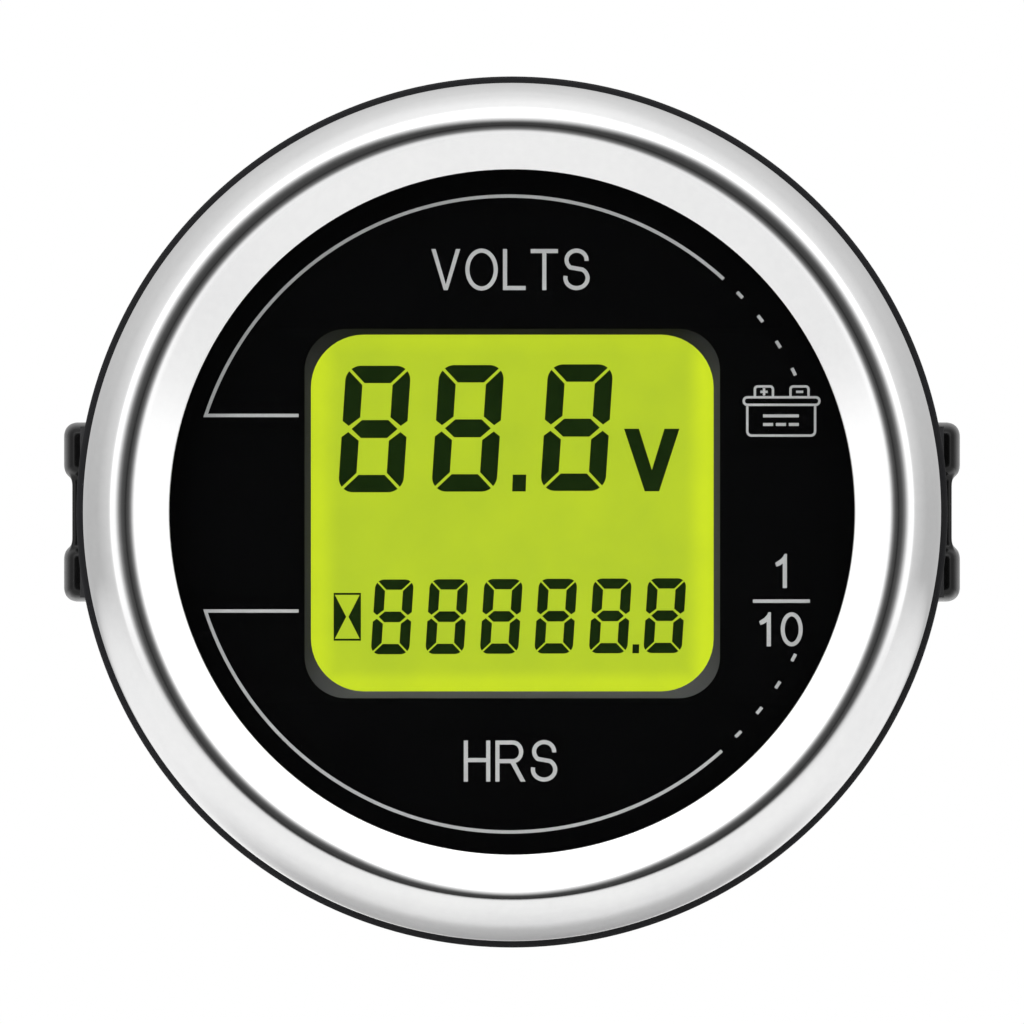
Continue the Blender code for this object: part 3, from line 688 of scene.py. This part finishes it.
for spread, corner, y in ((-0.08, 3.62, -1.9), (0.67, 2.95, -2.8)):
    rim = rounded_rectangle(view_half[0] + spread, view_half[1] + spread, corner, view_centre)
    rims.append([slope.verts.new((x * MM, y * MM, z * MM)) for x, z in rim])
    slope.faces.new(rims[-1])
bridge(slope, *rims)
display_frame = combined(display_frame, "DIFFERENCE", mesh_from(slope, "frame_slope"))
add_piece("display_tray", softened(display_frame, 0.06, 2), frame_grey, "frame_grey", "meter", "display_frame")


# Dial: a disc of black-painted sheet with the display's window punched out. The scale marks
# are screen-printed in pale grey ink, a hair thicker than the paint.

def ellipse(centre, radii, steps):
    return arc(centre, radii, 0, 360, steps)[:-1]


dial_black = grained("dial_black_paint", (0.0006, 0.0006, 0.0007), (0.0012, 0.0012, 0.0013), 0.15,
                     (0.60, 0.75), 0.003, specular=0.015)
dial_radius = 24.3
dial_front, dial_back = -3.6, -2.8
dial_edge = ellipse((0, 0), (dial_radius, dial_radius), 180)
dial_window = rounded_rectangle(14.52, 12.91, 2.9, (0.02, -0.11))
dial = plate("dial", [dial_edge, dial_window], dial_back, dial_front)
add_piece("dial", softened(dial, 0.04, 2), dial_black, "dial_black", "meter", "dial_plate")
ink = grained("dial_grey_ink", (0.490, 0.490, 0.495), (0.550, 0.550, 0.555), 0.10, (0.60, 0.75), 0.002,
              specular=0.1)
ink_back = dial_front - 0.003
ink_front = dial_front - 0.022


def ribbon(shape, path, width, closed=False, lift=0.0):
    """A printed line of even width along a path of (x, z) points, with mitred bends.

    A line that crosses another is lifted a little, so that their faces don't lie in one plane.
    """
    count = len(path)
    rungs = []
    for index, (x, z) in enumerate(path):
        tangents = []
        if closed or index:
            tangents.append((x - path[index - 1][0], z - path[index - 1][1]))
        if closed or index < count - 1:
            after = path[(index + 1) % count]
            tangents.append((after[0] - x, after[1] - z))
        units = [(a / math.hypot(a, b), b / math.hypot(a, b)) for a, b in tangents]
        across = sum(unit[0] for unit in units)
        along = sum(unit[1] for unit in units)
        size = math.hypot(across, along)
        normal = (-along / size, across / size)
        reach = width / 2 / (normal[1] * units[0][0] - normal[0] * units[0][1])
        rung = []
        for side, y in ((1, ink_back), (-1, ink_back), (-1, ink_front - lift), (1, ink_front - lift)):
            rung.append(shape.verts.new(((x + side * reach * normal[0]) * MM, y * MM,
                                         (z + side * reach * normal[1]) * MM)))
        rungs.append(rung)
    following = rungs[1:] + (rungs[:1] if closed else [])
    for first, second in zip(rungs, following):
        bridge(shape, first, second)
    if not closed:
        shape.faces.new(rungs[0])
        shape.faces.new(rungs[-1])


def add_print(name, mesh):
    add_piece(name, mesh, ink, "dial_print", "meter")


line_width = 0.23
arc_radius = 22.31
inner_end = -14.92
scale_lines = bmesh.new()
for centre, height, last in (((-0.22, -0.22), 6.75, 47.7), ((-0.20, -0.06), -6.92, -48.2)):
    first = 180 - math.degrees(math.asin((height - centre[1]) / arc_radius))
    sweep = arc(centre, (arc_radius, arc_radius), first if height > 0 else first - 360, last, 72)
    ribbon(scale_lines, [(inner_end, height), *sweep], line_width)
add_print("scale_lines", mesh_from(scale_lines, "scale_lines"))
dash_half_length = 0.28
for row, radius, first in (("upper", 22.00, 26.47), ("lower", 22.17, -44.45)):
    dash = bmesh.new()
    half_dash = math.degrees(dash_half_length / radius)
    ribbon(dash, arc((0, 0), (radius, radius), -half_dash, half_dash, 4), line_width)
    add_print(f"scale_dashes_{row}", turned_copies(mesh_from(dash, "scale_dash"), ink, 4, first, 5.71))

battery = bmesh.new()
battery_line = 0.165
sign_line = 0.17
current_line = 0.21
ribbon(battery, rounded_rectangle(2.645, 0.263, 0.25, (18.845, 7.757), 5), battery_line, closed=True)
case_radii = (0.30, 0.30)
case_path = [(16.45, 7.40), *arc((16.75, 5.645), case_radii, 180, 270, 5),
             *arc((20.89, 5.645), case_radii, 270, 360, 5), (21.19, 7.40)]
ribbon(battery, case_path, battery_line, lift=0.003)
post_radii = (0.20, 0.20)
for left in (16.98, 19.47):
    post_path = [(left, 8.10), *arc((left + 0.20, 8.58), post_radii, 180, 90, 4),
                 *arc((left + 1.06, 8.58), post_radii, 90, 0, 4), (left + 1.26, 8.10)]
    ribbon(battery, post_path, battery_line, lift=0.003)
ribbon(battery, [(17.36, 8.40), (17.88, 8.40)], sign_line)
ribbon(battery, [(17.62, 8.14), (17.62, 8.66)], sign_line, lift=0.006)
ribbon(battery, [(19.86, 8.40), (20.36, 8.40)], sign_line)
ribbon(battery, [(17.55, 6.72), (20.05, 6.72)], current_line)
for left in (17.55, 18.45, 19.35):
    ribbon(battery, [(left, 6.12), (left + 0.70, 6.12)], current_line)
add_print("battery_mark", mesh_from(battery, "battery_mark"))

tenth = bmesh.new()
figure_one = [(19.22, -2.93), (19.22, -5.31), (18.93, -5.31), (18.93, -3.60), (18.72, -3.74), (18.49, -3.82),
              (18.40, -3.56), (18.75, -3.33), (18.95, -3.13), (19.05, -2.93)]
for outline in (figure_one, [(x - 1.12, z - 4.08) for x, z in figure_one]):
    prism(tenth, outline, ink_back, ink_front)
ribbon(tenth, [(16.84, -6.23), (20.83, -6.23)], 0.24)
ribbon(tenth, ellipse((19.555, -8.20), (0.63, 1.05), 36), 0.28, closed=True)
add_print("tenth_mark", mesh_from(tenth, "tenth_mark"))

cap = 2.87
stroke = 0.285
edge = stroke / 2
h_width = 1.85
h_bar = 1.50
letter_strokes = {
    "H": (h_width, [[(edge, 0), (edge, cap)], [(h_width - edge, 0), (h_width - edge, cap)],
                    [(edge, h_bar), (h_width - edge, h_bar)]]),
    "L": (1.58, [[(edge, cap), (edge, edge), (1.58, edge)]]),
    "O": (2.27, [ellipse((1.135, cap / 2), (1.135 - edge, cap / 2 - 0.11), 40)]),
    "R": (2.10, [[(edge, 0), (edge, cap - edge), *arc((1.22, 2.08), (0.58, 0.65), 90, -90, 14),
                  (stroke, 1.43)]]),
    "S": (1.87, [arc((0.945, 2.10), (0.70, 0.66), -5, 232, 20)
                 + arc((0.94, 0.84), (0.78, 0.70), 58, -192, 20)]),
    "T": (1.90, [[(0, cap - edge), (1.90, cap - edge)], [(0.95, cap - edge), (0.95, 0)]]),
    "V": (2.02, []),
}
letter_wedges = {
    "R": [(1.76, 0), (2.10, 0), (1.36, 1.40), (1.00, 1.40)],
    "V": [(0, cap), (0.30, cap), (1.01, 0.40), (1.72, cap), (2.02, cap), (1.15, 0), (0.87, 0)],
}


def add_word(name, word, middle):
    """A word in a plain stroke letter, centred on (x, z)."""
    space = 0.36
    stroke_lift = 0.002
    wedge_lift = 0.005
    shape = bmesh.new()
    width = sum(letter_strokes[letter][0] for letter in word) + space * (len(word) - 1)
    left = middle[0] - width / 2
    base = middle[1] - cap / 2
    for letter in word:
        advance, strokes = letter_strokes[letter]
        for index, path in enumerate(strokes):
            placed = [(left + x, base + z) for x, z in path]
            ribbon(shape, placed, stroke, closed=letter == "O", lift=stroke_lift * index)
        if letter in letter_wedges:
            wedge = [(left + x, base + z) for x, z in letter_wedges[letter]]
            prism(shape, wedge, ink_back, ink_front - wedge_lift)
        left += advance + space
    add_print(name, mesh_from(shape, name))


add_word("volts_word", "VOLTS", (-0.1, 16.95))
add_word("hours_word", "HRS", (-0.1, -17.41))


# Lens: a flat disc of clear float glass, ground round its edge and coated against reflections,
# on a black rubber ring that keeps water out of the dial.

def mix_shader(tree, factor, first, second):
    mix = tree.nodes.new("ShaderNodeMixShader")
    for socket, source in zip(mix.inputs, (factor, first, second)):
        tree.links.new(source, socket)
    return mix.outputs[0]


seal_rubber = grained("lens_seal_rubber", (0.009, 0.009, 0.010), (0.015, 0.015, 0.016), 0.20,
                      (0.65, 0.85), 0.006)
finish_node("lens_seal", seal_rubber)
clear_glass, tree, surface = new_material("lens_clear_glass")
surface.inputs["Base Color"].default_value = (0.985, 0.992, 0.990, 1)
surface.inputs["Transmission Weight"].default_value = 1.0
surface.inputs["IOR"].default_value = 1.45
surface.inputs["Specular Tint"].default_value = (0.40, 0.40, 0.42, 1)
haze_roughness = 0.012
haze = noise(tree, coordinates(tree), 900)
tree.links.new(product(tree, haze, haze_roughness), surface.inputs["Roughness"])
path = tree.nodes.new("ShaderNodeLightPath")
clear = tree.nodes.new("ShaderNodeBsdfTransparent")
choice = mix_shader(tree, path.outputs["Is Shadow Ray"], surface.outputs["BSDF"], clear.outputs["BSDF"])
tree.links.new(choice, tree.nodes["Material Output"].inputs["Surface"])
finish_node("lens", clear_glass)


# Bezel: a ring pressed from half-millimetre stainless sheet and polished, with a cone down to the
# lens, a rounded crest and shoulder, and a lip crimped behind the housing's flange.

def sheet_section(skin, thickness):
    """A closed profile from an open outer skin, with the sheet's thickness behind it."""
    back = []
    for index, (radius, y) in enumerate(skin):
        before = skin[max(index - 1, 0)]
        after = skin[min(index + 1, len(skin) - 1)]
        along = (after[0] - before[0], after[1] - before[1])
        size = math.hypot(*along)
        back.append((radius - thickness * along[1] / size, y + thickness * along[0] / size))
    return skin + back[::-1]


def skin_arc(radius, height, radii, start, end, steps):
    """An arc of (radius, y) points whose centre stands at a height before the panel's face."""
    return [(across, -up) for across, up in arc((radius, height), radii, start, end, steps)]


polished_steel = grained("polished_stainless_steel", (0.775, 0.775, 0.778), (0.815, 0.815, 0.815), 0.60,
                         (0.06, 0.10), 0.0002, metallic=1.0)
crest_radius = 27.0
fillet = 2.0
fillet_height = 6.0
cone_angle = 24.2
opening = (23.9, -6.8)
lean = math.radians(cone_angle)
cone_top = (crest_radius - fillet * math.sin(lean), -fillet_height - fillet * math.cos(lean))
skin = []
for share in (0.0, 0.04, 0.10, 0.5, 0.90, 0.96):
    skin.append(tuple(low + share * (high - low) for low, high in zip(opening, cone_top)))
skin += skin_arc(crest_radius, fillet_height, (fillet, fillet), 90 + cone_angle, 90, 12)
skin += skin_arc(crest_radius, 4.3, (3.0, 3.7), 90, 0, 30)[1:]
skin += skin_arc(29.2, 2.2, (0.8, 0.8), 0, -90, 10)
lip_end = (27.6, -1.4)
sheet = 0.5
bezel = turned("bezel_ring", sheet_section([*skin, lip_end], sheet), 256)
add_piece("bezel_ring", softened(bezel, 0.06, 3), polished_steel, "polished_steel", "meter", "bezel")


# Gasket: a moulded ring of black rubber that seals the bezel to the panel and shows as a thin
# dark rim all round.

rubber = grained("gasket_black_rubber", (0.008, 0.008, 0.009), (0.013, 0.013, 0.015), 0.18,
                 (0.60, 0.80), 0.008, specular=0.25)
gasket_profile = [(26.1, -1.9), (27.3, -1.9), (27.3, -1.2), (30.5, -1.2), (30.5, 0.0), (26.1, 0.0)]
gasket = turned("rubber_gasket", gasket_profile, 256)
add_piece("rubber_gasket", softened(gasket, 0.2, 3), rubber, "black_rubber", "meter", "panel_gasket")


# Clamp washer: a flat matte ring that the nut presses on the panel's rear. Its two straight-edged
# ears lie under the nut's wings.

washer_plastic = grained("washer_matte_plastic", (0.024, 0.024, 0.026), (0.036, 0.036, 0.038), 0.12,
                         (0.65, 0.82), 0.010)
washer_radius = 29.6
bore_radius = 26.1
ear_reach = 30.3
ear_half = 6.0
ear_angle = math.degrees(math.asin(ear_half / washer_radius))
washer_edge = []
for side in (1, -1):
    turn = 90 - 90 * side
    washer_edge += [(side * ear_reach, -side * ear_half), (side * ear_reach, side * ear_half)]
    washer_edge += arc((0, 0), (washer_radius, washer_radius), turn + ear_angle, turn + 180 - ear_angle, 90)
washer_bore = ellipse((0, 0), (bore_radius, bore_radius), 180)
washer = plate("eared_washer", [washer_edge, washer_bore], 4.2, 3.0)
add_piece("eared_washer", softened(washer, 0.12, 2), washer_plastic, "washer_plastic", "washer", "clamp_washer")


# Ring nut: one moulding of glossy black nylon, a flanged ring with a wing on each side. A wing is
# a pair of rounded lugs with a shallow saddle between them for the thumb.

nylon = grained("nut_black_nylon", (0.002, 0.002, 0.002), (0.005, 0.005, 0.005), 0.50, (0.14, 0.24), 0.004,
                specular=0.3)
lug_reach = 31.5
saddle_reach = 30.9
wing_half = 6.3
lug_half = 2.0
lug_corner = 0.9
lug_middle = wing_half - lug_half
wing_root = 27.0
web_reach = lug_reach - 0.25
saddle_start, saddle_run = 3.3, 1.4
saddle_steps = 12
half_web = [(wing_root, lug_middle), (web_reach, lug_middle)]
for step in range(saddle_steps + 1):
    fall = step / saddle_steps
    dip = (web_reach - saddle_reach) * (1 - math.cos(math.pi * fall)) / 2
    half_web.append((web_reach - dip, saddle_start - saddle_run * fall))
web_outline = half_web + [(x, -z) for x, z in reversed(half_web)]
web = softened(prisms("web", [web_outline], 11.0, 5.8), 0.15, 3, 60)
lug_outlines = []
for end in (1, -1):
    centre = ((wing_root + lug_reach) / 2, end * lug_middle)
    lug_outlines.append(rounded_rectangle((lug_reach - wing_root) / 2, lug_half, lug_corner, centre, 8))
lug_front = 5.1
lug_back = 11.7
edge_stretch = 3.5  # the lugs' rounding runs this much further along the axis than across it
flat_lugs = prisms("lugs", lug_outlines, lug_back / edge_stretch, lug_front / edge_stretch)
lugs = softened(flat_lugs, 0.75, 8, 60)
for vertex in lugs.vertices:
    vertex.co.y *= edge_stretch
work = on_bench(combined(web, "UNION", lugs))
remesh = work.modifiers.new("moulding", "REMESH")
remesh.mode = "VOXEL"
remesh.voxel_size = 0.15 * MM
relax = work.modifiers.new("relax", "SMOOTH")
relax.factor = 0.5
relax.iterations = 5
wings = turned_copies(evaluated(work), nylon, 2, 0, 180)
ring_profile = [(26.5, 4.4), (28.8, 4.4), (29.2, 4.8), (29.2, 6.2), (28.4, 6.6), (28.4, 12.0), (28.0, 12.4),
                (26.5, 12.4), (26.1, 12.0), (26.1, 4.8)]
nut = combined(turned("winged_nut", ring_profile, 192), "UNION", wings)
add_piece("winged_nut", nut, nylon, "nut_nylon", "nut", "ring_nut")


# Studio: a pale floor below the meter, which fades into the white, and a white room with a dark bay
# round the camera, a darker hood at the bay's middle and a fan of light above it. The metal mirrors
# the room; two soft lamps, which it doesn't mirror, give the floor's shadow.

scene = bpy.context.scene
scene.view_settings.view_transform = "Standard"
floor_shape = bmesh.new()
floor_level = -38.4 * MM
for x, y in box(-1.0, -0.36, 1.0, 1.3):
    floor_shape.verts.new((x, y, floor_level))
floor_shape.faces.new(floor_shape.verts)
floor = on_bench(mesh_from(floor_shape, "studio_floor"))
if floor.data.polygons[0].normal.z < 0:
    floor.data.flip_normals()
pale = grained("studio_floor_paper", (0.80, 0.80, 0.80), (0.84, 0.84, 0.84), 2.0, (0.85, 0.95), 0.0,
               specular=0.0)
tree = pale.node_tree
foot = tree.nodes.new("ShaderNodeVectorMath")
foot.operation = "DISTANCE"
foot.inputs[1].default_value = (0, 0.012, floor_level)
tree.links.new(coordinates(tree), foot.inputs[0])
from_foot = foot.outputs["Value"]
path = tree.nodes.new("ShaderNodeLightPath").outputs
mirrored_or_through = math_node(tree, "MAXIMUM", path["Is Glossy Ray"], path["Is Transmission Ray"])
seen = math_node(tree, "MAXIMUM", path["Is Camera Ray"], mirrored_or_through)
paper_glow = 0.205
paper = tree.nodes.new("ShaderNodeEmission")
tree.links.new(product(tree, seen, paper_glow), paper.inputs["Strength"])
near = tree.nodes.new("ShaderNodeAddShader")
tree.links.new(tree.nodes["Principled BSDF"].outputs["BSDF"], near.inputs[0])
tree.links.new(paper.outputs["Emission"], near.inputs[1])
white = tree.nodes.new("ShaderNodeEmission").outputs["Emission"]
clear = tree.nodes.new("ShaderNodeBsdfTransparent").outputs["BSDF"]
mirror_fade = map_range(tree, from_foot, 0.08, 0.26, smooth=True)
far = mix_shader(tree, product(tree, path["Is Glossy Ray"], mirror_fade), white, clear)
shadow_fade = map_range(tree, from_foot, 0.03, 0.16, smooth=True)
top_side = mix_shader(tree, product(tree, seen, shadow_fade), near.outputs["Shader"], far)
under = tree.nodes.new("ShaderNodeNewGeometry").outputs["Backfacing"]
tree.links.new(mix_shader(tree, under, top_side, clear), tree.nodes["Material Output"].inputs["Surface"])
floor.data.materials.append(pale)

room = bpy.data.worlds.new("studio_room")
scene.world = room
room.use_nodes = True
tree = room.node_tree
tree.nodes.clear()
direction = coordinates(tree, "Generated")
across, depth, up = split(tree, direction)
bay_rise = math.radians(7.0)
bay = tree.nodes.new("ShaderNodeVectorMath")
bay.operation = "DOT_PRODUCT"
bay.inputs[1].default_value = (0, -math.cos(bay_rise), math.sin(bay_rise))
tree.links.new(direction, bay.inputs[0])
from_bay = math_node(tree, "ARCCOSINE", bay.outputs["Value"])
bands = tree.nodes.new("ShaderNodeValToRGB")
tree.links.new(math_node(tree, "DIVIDE", from_bay, math.pi), bands.inputs["Fac"])
stops = (  # degrees from the bay's middle, and the light there
    (0.0, 0.054), (7.0, 0.058), (14.5, 0.10), (22.0, 0.28), (29.0, 0.72), (35.0, 1.22), (44.0, 1.30),
    (50.0, 1.30), (53.0, 0.87), (58.5, 0.765), (73.0, 0.685), (94.0, 0.585), (180.0, 0.55),
)
ramp = bands.color_ramp.elements
for angle, _ in stops[1:-1]:
    ramp.new(angle / 180)
for element, (_, light) in zip(ramp, stops):
    element.color = (light, light, light, 1)
lift = map_range(tree, up, 0.0, 0.95, 1.0, 1.45)
crown = map_range(tree, up, 0.87, 0.97, 1.0, 1.085)
hood_core = -math.cos(math.radians(2.0))
hood_edge = -math.cos(math.radians(4.0))
hood = map_range(tree, depth, hood_core, hood_edge, 0.60)
fan_spread = 1.3
fan_height = math_node(tree, "SUBTRACT", up, product(tree, math_node(tree, "ABSOLUTE", across), fan_spread))
fan = map_range(tree, fan_height, 0.12, 0.46, 0.0, 0.85, smooth=True)
fan_reach = map_range(tree, depth, -0.80, -0.60, 1.0, 0.0, smooth=True)
level = math_node(tree, "ADD", bands.outputs["Color"], product(tree, fan, fan_reach))


def background(strength):
    """A white Background shader; gives its socket."""
    node = tree.nodes.new("ShaderNodeBackground")
    node.inputs["Color"].default_value = (1, 1, 1, 1)
    feed(tree, node.inputs["Strength"], strength)
    return node.outputs[0]


mirrored = background(product(tree, level, product(tree, lift, crown, hood)))
ambient = background(0.50)
backdrop = background(1.0)
path = tree.nodes.new("ShaderNodeLightPath").outputs
sheen = math_node(tree, "MAXIMUM", path["Is Glossy Ray"], path["Is Transmission Ray"])
unseen = mix_shader(tree, sheen, ambient, mirrored)
output = tree.nodes.new("ShaderNodeOutputWorld")
tree.links.new(mix_shader(tree, path["Is Camera Ray"], unseen, backdrop), output.inputs["Surface"])

lamps = (("top_lamp", (-0.05, -0.10, 1.2), 0.7, 8.0), ("front_lamp", (-0.6, -1.3, 0.5), 0.9, 7.0))
for name, place, size, power in lamps:
    lamp = bpy.data.lights.new(name, "AREA")
    lamp.size = size
    lamp.energy = power
    holder = on_bench(lamp)
    holder.location = place
    holder.rotation_euler = (-holder.location).to_track_quat("-Z", "Y").to_euler()
    holder.visible_glossy = False

lens_mm = 1000.0
sensor_mm = 36.0
view_width = 71.58
view_plane = 4.3  # where the view has that width, before the panel's face
lens = bpy.data.cameras.new("front_camera")
lens.lens = lens_mm
lens.sensor_width = sensor_mm
camera = on_bench(lens)
camera.location = (0, -(view_width * lens_mm / sensor_mm + view_plane) * MM, 0)
camera.rotation_euler = (math.radians(90), 0, 0)
scene.camera = camera
